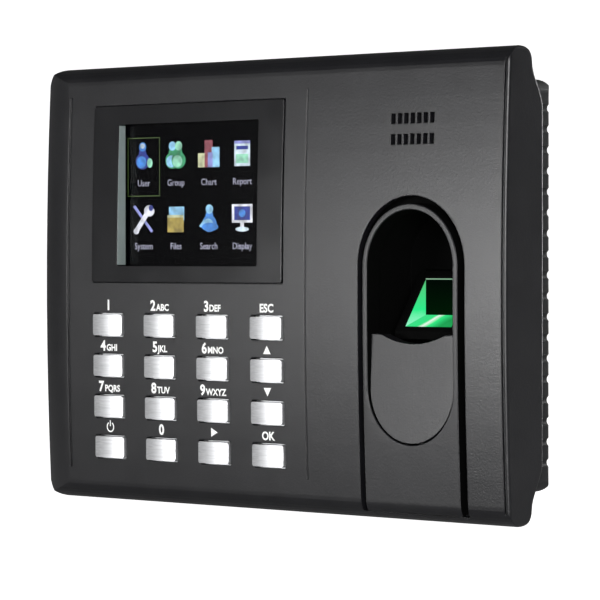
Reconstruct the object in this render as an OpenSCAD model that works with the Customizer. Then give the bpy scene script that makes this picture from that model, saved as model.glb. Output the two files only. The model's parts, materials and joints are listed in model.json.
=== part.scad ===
// Fingerprint scanner terminal for a wall: display and keys at the left, finger well at the right.
// Millimetres. +X is right as the user sees it, +Z is up, the front faces -Y.
// The origin is the middle of the wall plate's back face.
// Inside the modules, y is counted back from the front-most plane, and at_wall() moves it to the wall.

/* [Case] */
// Width of the front cover
case_w = 195; // [190:0.5:200]
// Height of the front cover
case_h = 138; // [136:0.5:142]
// How far the top and bottom of the face fall behind its middle
face_crown = 2; // [1:0.25:3]
// Depth of the front cover along its top and bottom
slab_d = 12; // [11:0.5:13]
// Depth of the side cheeks at mid-height
cheek_d = 16.8; // [16:0.2:18]
// Radius of the left and of the right case corners, seen from the front
corner_left_r = 7.5; // [4:0.5:8]
corner_right_r = 1.5; // [1:0.5:4]
// Radius of the rounded edge along the top and bottom of the face
nose_r = 5.8; // [5:0.1:6]
// Wall thickness of both covers
wall = 2.2; // [2:0.1:2.5]
// Half-height of the stretch where the cheeks have their full depth
cheek_flat = 51; // [46:1:54]
// Depth of the styling grooves in the face
groove_d = 0.6; // [0.3:0.1:0.8]

/* [Rear cover] */
// Width of the rear housing
housing_w = 178.4; // [178:0.2:182]
// Height of the rear housing
housing_h = 120.8; // [118:0.2:122]
// Depth from the front-most plane to the back of the rear cover
housing_d = 31; // [30.5:0.5:33]
// Spacing of the grip grooves along the sides
rib_pitch = 6.1; // [5.5:0.1:7]
// Depth of the grip grooves
rib_d = 1.5; // [1:0.1:1.6]

/* [Wall plate] */
// Thickness of the steel wall plate
plate_t = 1.6; // [1.2:0.1:2]
// Width of the wall plate
plate_w = 150; // [140:1:160]
// Height of the wall plate
plate_h = 92; // [88:1:96]
// Distance between the wall screws across the plate
wall_screw_x = 120; // [110:1:130]
// Distance between the wall screws up the plate
wall_screw_z = 60; // [50:1:66]
// Radius of the wall screw holes
wall_screw_r = 2.25; // [2:0.05:2.5]

/* [Display] */
// Middle of the display and of the keypad, across the face
panel_x = -30.5; // [-32:0.5:-29]
// Middle of the display opening, up the face
display_z = 27.95; // [27:0.05:29]
// Width and height of the display opening
display_w = 61; // [60:0.5:62]
display_h = 44.7; // [44:0.1:46]
// Width and height of the display frame
frame_w = 83; // [80:0.5:84]
frame_h = 55.7; // [54:0.1:57]
// How far the display frame stands out of the face
frame_proud = 0.5; // [0.2:0.1:0.8]

/* [Keys] */
// Width and height of a key cap
key_w = 13.1; // [12.5:0.1:14]
key_h = 6.7; // [6.5:0.1:7.2]
// Spacing of the keys across and down
key_dx = 23.1; // [22:0.1:24]
key_dz = 12.95; // [12.5:0.05:13.2]
// Middle of the top row of keys
key_top_z = -13.15; // [-14:0.05:-13]
// How far the middle of a key stands out of the face
key_proud = 1.3; // [1:0.1:1.5]
// How far a key travels
key_travel = 1; // [0.6:0.1:1]

/* [Finger well] */
// Middle of the finger well across the face
finger_x = 61.5; // [61:0.1:62]
// Height of the centre of the arch
arch_z = 5.65; // [5:0.05:6]
// Half-widths of the cut-out in the cover, of the surround and of its opening
cutout_r = 20.7; // [20.5:0.1:21]
surround_r = 18.35; // [18:0.05:18.5]
well_r = 16.55; // [16.3:0.05:16.8]
// Lowest point of the well's opening
well_bottom_z = -46.6; // [-48:0.2:-45]
// Top edge of the finger rest
rest_top_z = -14.3; // [-15:0.1:-14]
// Depth of the finger rest's top edge
rest_drop = 1.2; // [0.8:0.05:3.6]
// How far the surround stands out of the face
surround_proud = 0.55; // [0.3:0.05:0.8]

/* [Sensor] */
// Width of the prism
prism_w = 18.2; // [17:0.2:20]
// Depth of the glass at its lower and its upper edge
glass_front = 8; // [7.75:0.25:9]
glass_back = 17.6; // [17:0.1:18.5]
// Height of the glass's lower and upper edge
glass_low_z = -12.2; // [-12.7:0.1:-11.7]
glass_top_z = 2; // [1.5:0.1:2.5]

/* [Hidden] */
$fn = 48;
depth = housing_d + plate_t;
crown_r = (pow(case_h / 2, 2) + pow(face_crown, 2)) / (2 * face_crown);
fit = 0.2;
cheek_t = 2.55;
edge_z = case_h / 2 - nose_r;
tail_r = slab_d - crown(edge_z) - nose_r;
tail_z = case_h / 2 - tail_r;
lip_z = case_h / 2 - 4.3;
housing_corner_r = 4;
housing_edge_r = 1.5;
rib_r = 1.15;
rib_top_z = 51.9;
ribs = 18;
board_y = 14.6;
board_t = 1.6;
board_back = board_y + board_t;
inner_back = housing_d - wall;
face_steps = 16;
arc_steps = 8;
groove_left_x = -84.2;
groove_mid_x = 19.5;
bead_r = 1;
bead_x = case_w / 2 - bead_r - 0.1;
strip_r = 31.6;
flange_y = 4;
flange_t = 1.6;
flange_r = surround_r + 3.55;
sill_z = wall - case_h / 2;
keymat_y = 8.2;
keyboard_y = 9.6;
keyboard_t = 1.6;
stem_r = 3;
slot_w = 1.7;
slot_h = 3;
slot_dx = 2.5;
slot_rows = [48.95, 42.85];
slots_x = 61.6;
speaker_z = 45.9;
speaker_r = 11.5;
speaker_y = 3.7;
window_y = 3.2;
panel_y = 4.2;
frame_x = panel_x - 0.7;
frame_z = display_z + 0.4;
scoop_w = 24.6;
scoop_drop = 2.7;
scoop_r = (pow(scoop_w / 2, 2) + pow(scoop_drop, 2)) / (2 * scoop_drop);
rest_fit = 0.45;
flex_at = [10, -30];
wire_r = 0.5;
usb_x = -40;
usb_w = 13;
socket_x = -70;
socket_w = 16;
jack_x = -7.5;
socket_z = -58;
ways = 7;
way_pitch = 4.8;
keys_x = panel_x - 0.4;
keypad_z = key_top_z - 1.5 * key_dz;
key_gap = 0.9;
glass_mid_z = (glass_low_z + glass_top_z) / 2;
camera_y = glass_back + 8;
case_posts = [[-84, 56], [86, 56], [-84, -56], [86, -56]];
mat_posts = [for (x = [-1, 1], z = [0, 3]) [keys_x + x * key_dx, key_top_z - z * key_dz]];
board_posts = [[-75, 44], [24, 44], [-75, -36], [24, -50]];
board_box = [-80, -57.6, 110, 107.6];
hook_x = 50;
hook_z = 28;
lock_x = 60;
tamper_at = [12, 34];
reset_at = [-24, 40];
KEYS = [
  ["key_1", 0, 0], ["key_2", 1, 0], ["key_3", 2, 0], ["key_esc", 3, 0],
  ["key_4", 0, 1], ["key_5", 1, 1], ["key_6", 2, 1], ["key_up", 3, 1],
  ["key_7", 0, 2], ["key_8", 1, 2], ["key_9", 2, 2], ["key_down", 3, 2],
  ["key_power", 0, 3], ["key_0", 1, 3], ["key_right", 2, 3], ["key_ok", 3, 3]
];

function crown(z) = crown_r - sqrt(crown_r * crown_r - z * z);
function smooth(t) = t <= 0 ? 0 : t >= 1 ? 1 : t * t * (3 - 2 * t);
function key_x(c) = keys_x + (c - 1.5) * key_dx;
function key_z(r) = key_top_z - r * key_dz;
// Depth of the front cover's back edge at height z
function back_y(z) = slab_d + (cheek_d - slab_d) * smooth((tail_z - abs(z)) / (tail_z - cheek_flat));
// Points down the cheek's back edge from height z, moved forward by off
function back_line(off, z) = [
  for (i = [0:arc_steps]) let (at = z - (z - cheek_flat) * i / arc_steps) [back_y(at) - off, at]
];
// Depth at which a key's flange rests behind the crowned wall
function key_seat(z) = crown(abs(z) + key_h / 2 + 1) + wall + 0.15;
// Points along the crowned face, moved back by off, between two heights
function face_line(off, z0, z1) = [
  for (i = [0:face_steps]) let (z = z0 + (z1 - z0) * i / face_steps) [crown(z) + off, z]
];
function arc(cy, cz, r, a0, a1) = [
  for (i = [0:arc_steps]) let (a = a0 + (a1 - a0) * i / arc_steps) [cy + r * cos(a), cz + r * sin(a)]
];
function back_to_front(points) = [for (i = [len(points) - 1:-1:0]) points[i]];
function flip(points) = [for (i = [len(points) - 1:-1:0]) [points[i][0], -points[i][1]]];

module at_wall() translate([0, -depth, 0]) children();
// A flat shape in X and Z, as thick as y0 to y1
module slab(y0, y1) translate([0, y1, 0]) rotate([90, 0, 0]) linear_extrude(y1 - y0) children();
// A side profile in Y and Z, drawn out from x0 to x1
module run_x(x0, x1) translate([x0, 0, 0]) rotate([90, 0, 90]) linear_extrude(x1 - x0) children();
module block(x0, x1, y0, y1, z0, z1) translate([x0, y0, z0]) cube([x1 - x0, y1 - y0, z1 - z0]);
module post(x, z, r, y0, y1) translate([x, y1, z]) rotate([90, 0, 0]) cylinder(r = r, h = y1 - y0);
// A square block, r to each side of a place in X and Z
module post_block(at, r, y0, y1) block(at[0] - r, at[0] + r, y0, y1, at[1] - r, at[1] + r);
module upright(x, y, r, z0, z1) translate([x, y, z0]) cylinder(r = r, h = z1 - z0);
module round_rect(w, h, r) {
  square([w - 2 * r, h], center = true);
  square([w, h - 2 * r], center = true);
  for (x = [-1, 1], z = [-1, 1]) translate([x * (w / 2 - r), z * (h / 2 - r)]) circle(r);
}
// An arch of half-width r whose straight sides run down to z
module arch(r, z) {
  translate([finger_x, arch_z]) circle(r, $fn = 96);
  translate([finger_x - r, z]) square([2 * r, arch_z - z]);
}
// The same with a round bottom
module stadium(r, z) {
  arch(r, z + r);
  translate([finger_x, z + r]) circle(r, $fn = 96);
}
// Everything from off behind the face back to y1, between two heights
module behind_face(off, y1, x0, x1, z0, z1)
  run_x(x0, x1) polygon(concat(face_line(off, z0, z1), [[y1, z1], [y1, z0]]));
// Everything from y0 ahead of the face back to off behind it
module ahead_of_face(off, x0, x1, z0, z1)
  run_x(x0, x1) polygon(concat(face_line(off, z0, z1), [[-3, z1], [-3, z0]]));
// Sweeps a flat shape, drawn in distance from the crown's axis and in x, round the crowned face
module sweep_crown()
  translate([0, crown_r, 0]) rotate([-90, 0, 0]) rotate([0, 90, 0]) rotate([0, 0, -4])
  rotate_extrude(angle = 8, $fn = 720) children();
// What is cut from a square corner to leave a rounded one: a band from x0 to x1 ahead of a circle
module round_off(x0, x1, centre_x, centre_depth, r) difference() {
  translate([crown_r - centre_depth, x0]) square([centre_depth + 4, x1 - x0]);
  translate([crown_r - centre_depth, centre_x]) circle(r, $fn = 96);
}

// Outline of the front cover: large corners at the left, small ones at the right
module case_outline() {
  translate([-case_w / 2 + corner_left_r, -case_h / 2])
    square([case_w - corner_left_r - corner_right_r, case_h]);
  for (side = [[-1, corner_left_r], [1, corner_right_r]]) translate([side[0] * (case_w / 2 - side[1]), 0]) {
    square([2 * side[1], case_h - 2 * side[1]], center = true);
    for (z = [-1, 1]) translate([0, z * (case_h / 2 - side[1])]) circle(side[1]);
  }
}

// Side profile of the front cover: crowned face, rounded front and back edges, deeper cheeks
module case_profile() {
  upper = concat(
    arc(crown(edge_z) + nose_r, edge_z, nose_r, 180, 90),
    arc(slab_d - tail_r, tail_z, tail_r, 90, 0),
    [for (p = back_line(0, tail_z)) if (p[1] < tail_z - 0.01) p]
  );
  polygon(concat(face_line(0, -edge_z + 0.01, edge_z - 0.01), upper, flip(upper)));
}

// Hollow of the front cover, one wall inside its face and its rounded edges
module cavity_profile() {
  upper = concat(
    arc(crown(edge_z) + nose_r, edge_z, nose_r - wall, 180, 90),
    [[slab_d - wall, case_h / 2 - wall]]
  );
  polygon(concat(face_line(wall, -edge_z + 0.01, edge_z - 0.01), upper, flip(upper)));
}

module front_cover() color("#303133") at_wall() difference() {
  union() {
    difference() {
      intersection() {
        run_x(-case_w / 2, case_w / 2) case_profile();
        slab(-1, 20) case_outline();
      }
      run_x(-case_w / 2 + cheek_t, case_w / 2 - cheek_t) cavity_profile();
      block(-case_w / 2 + cheek_t, case_w / 2 - cheek_t, slab_d - wall - 0.01, 20, -lip_z, lip_z);
    }
    for (p = case_posts) post(p[0], p[1], 2.4, wall, 10.5);
    for (p = mat_posts) post(p[0], p[1], 2.2, wall, keyboard_y);
  }
  for (p = case_posts) post(p[0], p[1], 1.3, 4.5, 11);
  for (p = mat_posts) post(p[0], p[1], 0.9, 5, 10);
  // styling grooves down the face
  ahead_of_face(groove_d, groove_left_x - 0.5, groove_left_x + 0.5, -59, 59.5);
  ahead_of_face(0.3, groove_mid_x - 0.22, groove_mid_x + 0.22, -58.6, 59);
  ahead_of_face(0.8, bead_x - 0.6, bead_x, -edge_z - 2, edge_z + 2);
  // rounded bead along the right edge, falling strip and rounded corner along the left edge
  sweep_crown() round_off(bead_x - 0.05, case_w / 2 + 2, case_w / 2 - bead_r, bead_r, bead_r);
  sweep_crown() round_off(-case_w / 2 - 2, groove_left_x - 0.45, groove_left_x - 0.45, strip_r, strip_r);
  sweep_crown() round_off(-case_w / 2 - 2, -case_w / 2 + 2.2, -case_w / 2 + 2.2, 4.25, 2.5);
  // recess and opening for the display frame
  ahead_of_face(1.4, frame_x - frame_w / 2 - fit, frame_x + frame_w / 2 + fit,
    frame_z - frame_h / 2 - fit, frame_z + frame_h / 2 + fit);
  slab(-1, 6) translate([panel_x, display_z]) round_rect(display_w + 6.4, display_h + 5.4, 1);
  // key holes
  for (k = KEYS) slab(-1, 8) translate([key_x(k[1]), key_z(k[2])])
    round_rect(key_w + key_gap, key_h + key_gap, 1);
  // sound slots
  for (i = [-3:3], z = slot_rows) slab(-1, 6) translate([slots_x + i * slot_dx, z])
    square([slot_w, slot_h], center = true);
  // cut-out for the finger surround
  slab(-1, 8) arch(cutout_r, sill_z);
}

// Rear cover: a tub with ribbed sides, and a flange that closes the back of the front cover
module rear_cover() color("#232426") at_wall() difference() {
  flange_w = case_w - 2 * cheek_t - 2 * fit;
  union() {
    run_x(-flange_w / 2, flange_w / 2) rear_flange_profile();
    intersection() {
      slab(11, housing_d) round_rect(housing_w, housing_h, housing_corner_r);
      run_x(-housing_w, housing_w) rear_edge_profile(housing_h / 2, 3);
      translate([0, 0, -housing_h]) linear_extrude(2 * housing_h) mirror([1, -1])
        rear_edge_profile(housing_w / 2, housing_edge_r);
    }
  }
  difference() {
    slab(5, inner_back) round_rect(housing_w - 2 * wall - 2, housing_h - 2 * wall, 3);
    for (p = case_posts) post(p[0], p[1], 3.4, 10.6, housing_d);
    for (p = board_posts) post(p[0], p[1], 3, board_back, housing_d);
  }
  // grip grooves along both sides
  for (side = [-1, 1], i = [0:ribs - 1])
    post(side * (housing_w / 2 - rib_d + rib_r), rib_top_z - i * rib_pitch, rib_r,
      cheek_d - 0.4, housing_d + 1);
  for (p = case_posts) {
    post(p[0], p[1], 1.7, 8, housing_d + 1);
    post(p[0], p[1], 2.4, 16, housing_d + 1);
  }
  for (p = board_posts) post(p[0], p[1], 1.1, board_back - 1, inner_back - 1);
  // wiring window, hook slots, lock slot, tamper and reset holes
  wiring_window();
  for (x = [-hook_x, hook_x], z = [-hook_z, hook_z])
    block(x - 6, x + 6, inner_back - 1, housing_d + 1, z - 2.5, z + 5.2);
  block(lock_x - 8.4, lock_x + 8.4, inner_back - 1, housing_d + 1, -58.3, -55.4);
  upright(lock_x, 26, 1.8, -62, -57);
  post(tamper_at[0], tamper_at[1], 2.3, inner_back - 1, housing_d + 1);
  post(reset_at[0], reset_at[1], 1.5, inner_back - 1, housing_d + 1);
  // socket openings in the bottom
  block(socket_x - fit, socket_x + socket_w + fit, board_back - fit, inner_back, -62, -57);
  block(usb_x - fit, usb_x + usb_w + fit, board_back - fit, board_back + 6, -62, -57);
  upright(jack_x, board_back + 5.5, 4.2, -62, -57);
  // cooling slots
  for (i = [-5:5]) block(i * 5 + 55 - 1, i * 5 + 55 + 1, inner_back - 1, housing_d + 1, 34, 50);
}

// The hole behind the terminals, through the rear cover and the wall plate
module wiring_window() block(-20, 20, inner_back - 1, depth + 1, -20, 10);

// Ring that closes the back of the front cover, following its cheeks
module rear_flange_profile() {
  edge = back_line(0.5, lip_z - fit);
  inner = back_line(0.5 + wall, lip_z - fit);
  lower = flip(inner);
  polygon(concat(edge, flip(edge), back_to_front(lower), back_to_front(inner)));
}

// Section of the housing, h to each side, with its back edges rounded
module rear_edge_profile(h, r) {
  corner = arc(housing_d - r, h - r, r, 90, 0);
  polygon(concat([[0, -h], [0, h]], corner, flip(corner)));
}

module wall_plate() color("#8f9194") at_wall() {
  difference() {
    slab(housing_d, depth) union() {
      round_rect(plate_w, plate_h, 6);
      translate([lock_x, -50]) square([16, 14.2], center = true);
    }
    for (x = [-1, 1], z = [-1, 1])
      post(x * wall_screw_x / 2, z * wall_screw_z / 2, wall_screw_r, housing_d - 1, depth + 1);
    wiring_window();
    post(tamper_at[0], tamper_at[1], 2.6, housing_d - 1, depth + 1);
    post(reset_at[0], reset_at[1], 2, housing_d - 1, depth + 1);
    for (x = [-hook_x, hook_x], z = [-hook_z, hook_z])
      block(x - 5, x + 5, housing_d - 1, depth + 1, z + 1.5, z + 6);
  }
  for (x = [-hook_x, hook_x], z = [-hook_z, hook_z]) {
    block(x - 5, x + 5, inner_back - 1.6, housing_d + 0.1, z, z + 1.5);
    block(x - 5, x + 5, inner_back - 1.6, inner_back - 0.3, z + 1.4, z + 4.6);
    block(x - 5, x + 5, housing_d, depth, z, z + 1.6);
  }
  difference() {
    block(lock_x - 8, lock_x + 8, 22.5, depth, -57.6, -56.1);
    upright(lock_x, 26, 1.25, -60, -50);
  }
}

// A pan-head screw along +Y: the shaft ends at y0, the head sits at y1
module screw_y(x, z, r, y0, y1, head_r, head_h) {
  post(x, z, r, y0, y1 + 0.1);
  difference() {
    post(x, z, head_r, y1, y1 + head_h);
    for (a = [0, 90]) translate([x, y1 + head_h, z]) rotate([0, a, 0])
      cube([head_r * 1.2, head_h, 0.7], center = true);
  }
}
module lock_screw() color("silver") at_wall() difference() {
  union() {
    upright(lock_x, 26, 1.2, -62.2, -54);
    upright(lock_x, 26, 2.8, -62.4, -housing_h / 2);
  }
  for (a = [0, 90]) translate([lock_x, 26, -62.4]) rotate([0, 0, a]) cube([3.2, 0.7, 1.4], center = true);
}
module case_screws() color("silver") at_wall()
  for (p = case_posts) screw_y(p[0], p[1], 1.25, 5, 16, 2.2, 2);

module display_frame() color("#0c0c0d") at_wall() difference() {
  union() {
    intersection() {
      behind_face(-frame_proud, 4, -100, 60, -1, 58);
      difference() {
        slab(-2, 4) translate([frame_x, frame_z]) round_rect(frame_w, frame_h, 0.8);
        behind_face(1.3, 6, -100, 60, -1, 58);
      }
    }
    slab(1, window_y) translate([panel_x, display_z]) round_rect(display_w + 6, display_h + 5, 1);
  }
  slab(-2, 6) translate([panel_x, display_z]) round_rect(display_w, display_h, 0.6);
}
module display_window() color("#1a1d22") at_wall()
  slab(window_y, panel_y - 0.1) translate([panel_x, display_z]) round_rect(display_w + 5, display_h + 4, 0.8);
module display_glass() color("#05060a") at_wall()
  block(panel_x - 34.6, panel_x + 34.6, panel_y, panel_y + 1.4, display_z - 25, display_z + 25);
module display_backlight() color("white") at_wall()
  block(panel_x - 34, panel_x + 34, panel_y + 1.4, panel_y + 3, display_z - 24.4, display_z + 24.4);
module display_tray() color("silver") at_wall() difference() {
  block(panel_x - 35.3, panel_x + 35.3, panel_y, panel_y + 3.7, display_z - 25.7, display_z + 25.7);
  block(panel_x - 34.7, panel_x + 34.7, panel_y - 1, panel_y + 3.1, display_z - 25.1, display_z + 25.1);
}
module display_flex() color("#b06a1c") at_wall() run_x(panel_x - 9, panel_x + 9)
  polygon([[7.9, 12], [7.9, 3], [8.2, 3], [8.2, 5.6], [board_y, 5.6], [board_y, 5.9], [8.2, 5.9], [8.2, 12]]);

// Side profile of the surround: it follows the face and turns over its rounded bottom edge
module surround_profile() {
  proud_r = nose_r + surround_proud;
  turn = asin((nose_r - wall - fit) / proud_r);
  polygon(concat(
    face_line(-surround_proud, -edge_z + 0.01, 30),
    [[flange_y + flange_t, 30], [flange_y + flange_t, sill_z + fit]],
    arc(crown(edge_z) + nose_r, -edge_z, proud_r, 180 + turn, 180)
  ));
}
// Finger surround: raised rim round the well, and a plate that runs on down the face
module finger_surround() color("#3a3b3d") at_wall() difference() {
  union() {
    intersection() {
      run_x(30, 90) surround_profile();
      slab(-2, 8) arch(surround_r, sill_z + fit);
    }
    slab(flange_y, flange_y + flange_t) {
      arch(flange_r, -edge_z - fit);
      arch(cutout_r - fit, sill_z + fit);
    }
  }
  slab(-2, 8) stadium(well_r, well_bottom_z);
}
// Sloping rest with a scooped top edge, held by a flange behind the surround
module finger_rest() color("#3a3b3d") at_wall() {
  low_z = well_bottom_z + rest_fit;
  low_y = crown(low_z) - surround_proud;
  back = flange_y + flange_t;
  difference() {
    intersection() {
      slab(-2, 12) stadium(well_r - rest_fit, low_z);
      run_x(40, 82) polygon([
        [low_y, low_z - 1], [low_y, low_z], [rest_drop, rest_top_z],
        [back - fit, rest_top_z], [back - fit, low_z - 1]
      ]);
    }
    slab(-2, 12) translate([finger_x, rest_top_z + scoop_r - scoop_drop]) circle(scoop_r, $fn = 96);
  }
  intersection() {
    union() {
      slab(back - 2 * fit, back + 1) stadium(well_r - rest_fit, low_z);
      slab(back + 0.05, back + 1) stadium(well_r + 1.5, well_bottom_z - 1.5);
    }
    block(finger_x - 30, finger_x + 30, 0, 10, -60, -19.3);
  }
}

// Black lining of the well, open to the front and at the sensor
module sensor_cowl() color("#0a0a0b") at_wall() difference() {
  well_y = flange_y + flange_t;
  slab(well_y, 22) arch(well_r + 2.4, -19);
  slab(well_y - 1, 20.4) arch(well_r + 0.8, -17.4);
  block(finger_x - 12.3, finger_x + 12.3, glass_front - 1.5, 23, -20, glass_top_z + 2.6);
}

// Slanted plane of the prism glass, moved out by off and stretched by more
module glass_wedge(off, more, x0, x1) {
  run = [glass_back - glass_front, glass_top_z - glass_low_z];
  u = run / norm(run);
  n = [-u[1], u[0]];
  a = [glass_front, glass_low_z] + n * off - u * more;
  b = [glass_back, glass_top_z] + n * off + u * more;
  run_x(x0, x1) polygon([a, b, b + n * 30, a + n * 30]);
}
module sensor_housing() color("#101113") at_wall() difference() {
  block(finger_x - 12, finger_x + 12, glass_front - 1.2, camera_y + 0.2,
    glass_low_z - 3.6, glass_top_z + 2.3);
  glass_wedge(0.3, 30, 0, 100);
  block(finger_x - prism_w / 2 - 0.1, finger_x + prism_w / 2 + 0.1, glass_front - 1.5, glass_back + 0.1,
    glass_low_z - 0.1, glass_top_z + 2.8);
  // chamber for the lamps below, the lens and the camera behind
  block(finger_x - 9, finger_x + 9, glass_front + 1.5, glass_front + 8.5, glass_low_z - 2.8, glass_low_z);
  block(finger_x - 8.5, finger_x + 8.5, glass_back, camera_y - 1.4, glass_low_z + 1, glass_top_z - 1.2);
  block(finger_x - 10.2, finger_x + 10.2, camera_y - 1.5, camera_y + 1, glass_low_z - 2, glass_top_z + 1.1);
}
module sensor_prism() color("#1d7a3c") at_wall() run_x(finger_x - prism_w / 2, finger_x + prism_w / 2)
  polygon([[glass_front, glass_low_z], [glass_back, glass_top_z], [glass_back, glass_low_z]]);
module sensor_light_board() color("#1c6b35") at_wall()
  block(finger_x - 8.8, finger_x + 8.8, glass_front + 1.7, glass_front + 8.3,
    glass_low_z - 2.7, glass_low_z - 1.7);
module sensor_lamps() color("#35ff7a") at_wall() for (i = [-1.5:1.5])
  block(finger_x + i * 4.4 - 1, finger_x + i * 4.4 + 1, glass_front + 4, glass_front + 6,
    glass_low_z - 1.7, glass_low_z - 0.6);
module sensor_lens() color("#15161a") at_wall() difference() {
  post(finger_x, glass_mid_z, 4, glass_back + 1, camera_y - 1.8);
  post(finger_x, glass_mid_z, 2.4, glass_back, glass_back + 2.4);
}
module sensor_camera_board() color("#1c6b35") at_wall() {
  block(finger_x - 10, finger_x + 10, camera_y - 1.2, camera_y, glass_low_z - 1.8, glass_top_z + 0.9);
  block(finger_x - 3, finger_x + 3, camera_y - 1.75, camera_y - 1.15, glass_mid_z - 3, glass_mid_z + 3);
}
module sensor_ribbon() color("#d8d2c0") at_wall() translate([0, 0, glass_mid_z]) linear_extrude(6)
  polygon([
    [56, camera_y], [56, camera_y + 0.7], [36, camera_y + 0.7], [31.2, 19], [31.2, board_back + 0.4],
    [22, board_back + 0.4], [22, board_back], [31.6, board_back], [31.6, 18.8], [36.2, camera_y + 0.3],
    [54, camera_y + 0.3], [54, camera_y]
  ]);

// A key: cap with a face that bows outwards, flange behind the cover, stem down to the mat
module key(c, r) color("#c9cbcd") at_wall() {
  x = key_x(c);
  z = key_z(r);
  seat = key_seat(z);
  bow_r = 32;
  front = crown(z) - key_proud;
  intersection() {
    slab(front - 1, seat + 0.5) translate([x, z]) round_rect(key_w, key_h, 0.8);
    translate([x, front + bow_r, z - 10]) cylinder(r = bow_r, h = 20, $fn = 160);
  }
  slab(seat, seat + 1) translate([x, z]) round_rect(key_w + 1.8, key_h + 1.9, 1);
  post(x, z, stem_r, seat + 0.9, keyboard_y - key_travel - 0.2);
}
module key_mat() color("#5b5d60") at_wall() difference() {
  union() {
    slab(keymat_y, keyboard_y) translate([keys_x, keypad_z]) round_rect(90, 49.6, 3);
    for (k = KEYS) post(key_x(k[1]), key_z(k[2]), 4.4, 7, keymat_y + 0.1);
  }
  for (k = KEYS) post(key_x(k[1]), key_z(k[2]), stem_r + 0.4, 6, keyboard_y + 1);
  for (p = mat_posts) post(p[0], p[1], 2.6, 6, keyboard_y + 1);
}
module key_board() color("#1c6b35") at_wall() difference() {
  slab(keyboard_y, keyboard_y + keyboard_t) translate([keys_x, keypad_z]) round_rect(92, 50, 2);
  for (p = mat_posts) post(p[0], p[1], 1.3, 8, 12);
}
module key_board_screws() color("silver") at_wall()
  for (p = mat_posts) screw_y(p[0], p[1], 0.85, 5.5, keyboard_y + keyboard_t, 2, 1.2);
module key_board_flex() color("#b06a1c") at_wall()
  block(flex_at[0] - 3, flex_at[0] + 3, keyboard_y + keyboard_t, board_y,
    flex_at[1] - 0.15, flex_at[1] + 0.15);

module speaker_gasket() color("#18191a") at_wall() difference() {
  post(slots_x, speaker_z, speaker_r, speaker_y, speaker_y + 0.8);
  post(slots_x, speaker_z, speaker_r - 1.8, speaker_y - 1, speaker_y + 1);
}
module speaker_cone() color("#26282b") at_wall()
  translate([slots_x, speaker_y + 1, speaker_z]) rotate([-90, 0, 0]) rotate_extrude($fn = 64)
    polygon([[0, 2.1], [4, 2.1], [9.6, 0], [9.6, 0.3], [4.1, 2.5], [0, 2.5]]);
module speaker_basket() color("#7d8083") at_wall() difference() {
  union() {
    post(slots_x, speaker_z, speaker_r, speaker_y + 0.8, speaker_y + 2.1);
    post(slots_x, speaker_z, 7.5, speaker_y + 2, speaker_y + 4.9);
  }
  post(slots_x, speaker_z, 9.8, speaker_y, speaker_y + 1.4);
  translate([slots_x, speaker_y + 1.35, speaker_z]) rotate([-90, 0, 0]) cylinder(r1 = 9.8, r2 = 5, h = 2.3);
}
module speaker_magnet() color("#4a4c4f") at_wall()
  post(slots_x, speaker_z, 6.5, speaker_y + 4.9, speaker_y + 7.5);
// A round wire from a to b
module wire(a, b, r) {
  d = b - a;
  translate(a) rotate([0, acos(d[2] / norm(d)), atan2(d[1], d[0])]) cylinder(r = r, h = norm(d), $fn = 24);
}
module speaker_lead() color("#b3282d") at_wall() for (z = [36, 38.4]) {
  wire([slots_x - 8, 8.4, z], [32, 17.2, z], wire_r);
  wire([32, 17.2, z], [24, 17.2, z], wire_r);
}

module main_board() color("#1c6b35") at_wall() difference() {
  block(board_box[0], board_box[0] + board_box[2], board_y, board_back,
    board_box[1], board_box[1] + board_box[3]);
  for (p = board_posts) post(p[0], p[1], 1.6, board_y - 1, board_back + 1);
}
module board_chips() color("#1b1c1e") at_wall() {
  block(-58, -44, board_y - 1.4, board_y, -6, 8);
  block(-28, -14, board_y - 1, board_y, -22, -12);
  block(-60, -48, board_y - 1, board_y, -30, -22);
  block(-34, -24, board_back, board_back + 1.6, 12, 22);
}
module network_socket() color("#b9bcc0") at_wall() difference() {
  block(socket_x, socket_x + socket_w, board_back, board_back + 12.2, socket_z, socket_z + 18);
  block(socket_x + 2, socket_x + socket_w - 2, board_back + 1.6, board_back + 9.6,
    socket_z - 1, socket_z + 12);
}
module usb_socket() color("#b9bcc0") at_wall() difference() {
  low = usb_x + 0.4;
  high = usb_x + usb_w - 0.4;
  block(usb_x, usb_x + usb_w, board_back, board_back + 5.7, socket_z, socket_z + 14);
  block(low, high, board_back + 0.4, board_back + 2.3, socket_z - 1, socket_z + 12.5);
  block(low, high, board_back + 2.2, board_back + 5.3, socket_z - 1, socket_z + 1.5);
  block(low, high, board_back + 4.4, board_back + 5.3, socket_z + 1, socket_z + 12.5);
}
module power_jack() color("#1b1c1e") at_wall() {
  difference() {
    block(jack_x - 4.5, jack_x + 4.5, board_back, board_back + 11, socket_z, socket_z + 14);
    upright(jack_x, board_back + 5.5, 3.15, socket_z - 1, socket_z + 12);
  }
  upright(jack_x, board_back + 5.5, 1, socket_z + 1, socket_z + 13);
}
module wiring_header() color("#2f7d4a") at_wall() difference() {
  block(-17.5, 17.5, board_back, board_back + 8.5, -17, -9);
  for (i = [0:ways - 1]) let (x = (i - (ways - 1) / 2) * way_pitch)
    block(x - 1.6, x + 1.6, board_back + 2, board_back + 7, -12.5, -8);
}
module cell_holder() color("#1b1c1e") at_wall() difference() {
  post(-60, 24, 11.5, board_back, board_back + 4.4);
  post(-60, 24, 10.2, board_back + 1, board_back + 6);
}
module coin_cell() color("silver") at_wall() post(-60, 24, 10, board_back + 1, board_back + 4.2);
module buzzer() color("#151618") at_wall() difference() {
  post(-42, 40, 6, board_back, board_back + 8.5);
  post(-42, 40, 1, board_back + 6, board_back + 9);
}
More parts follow.
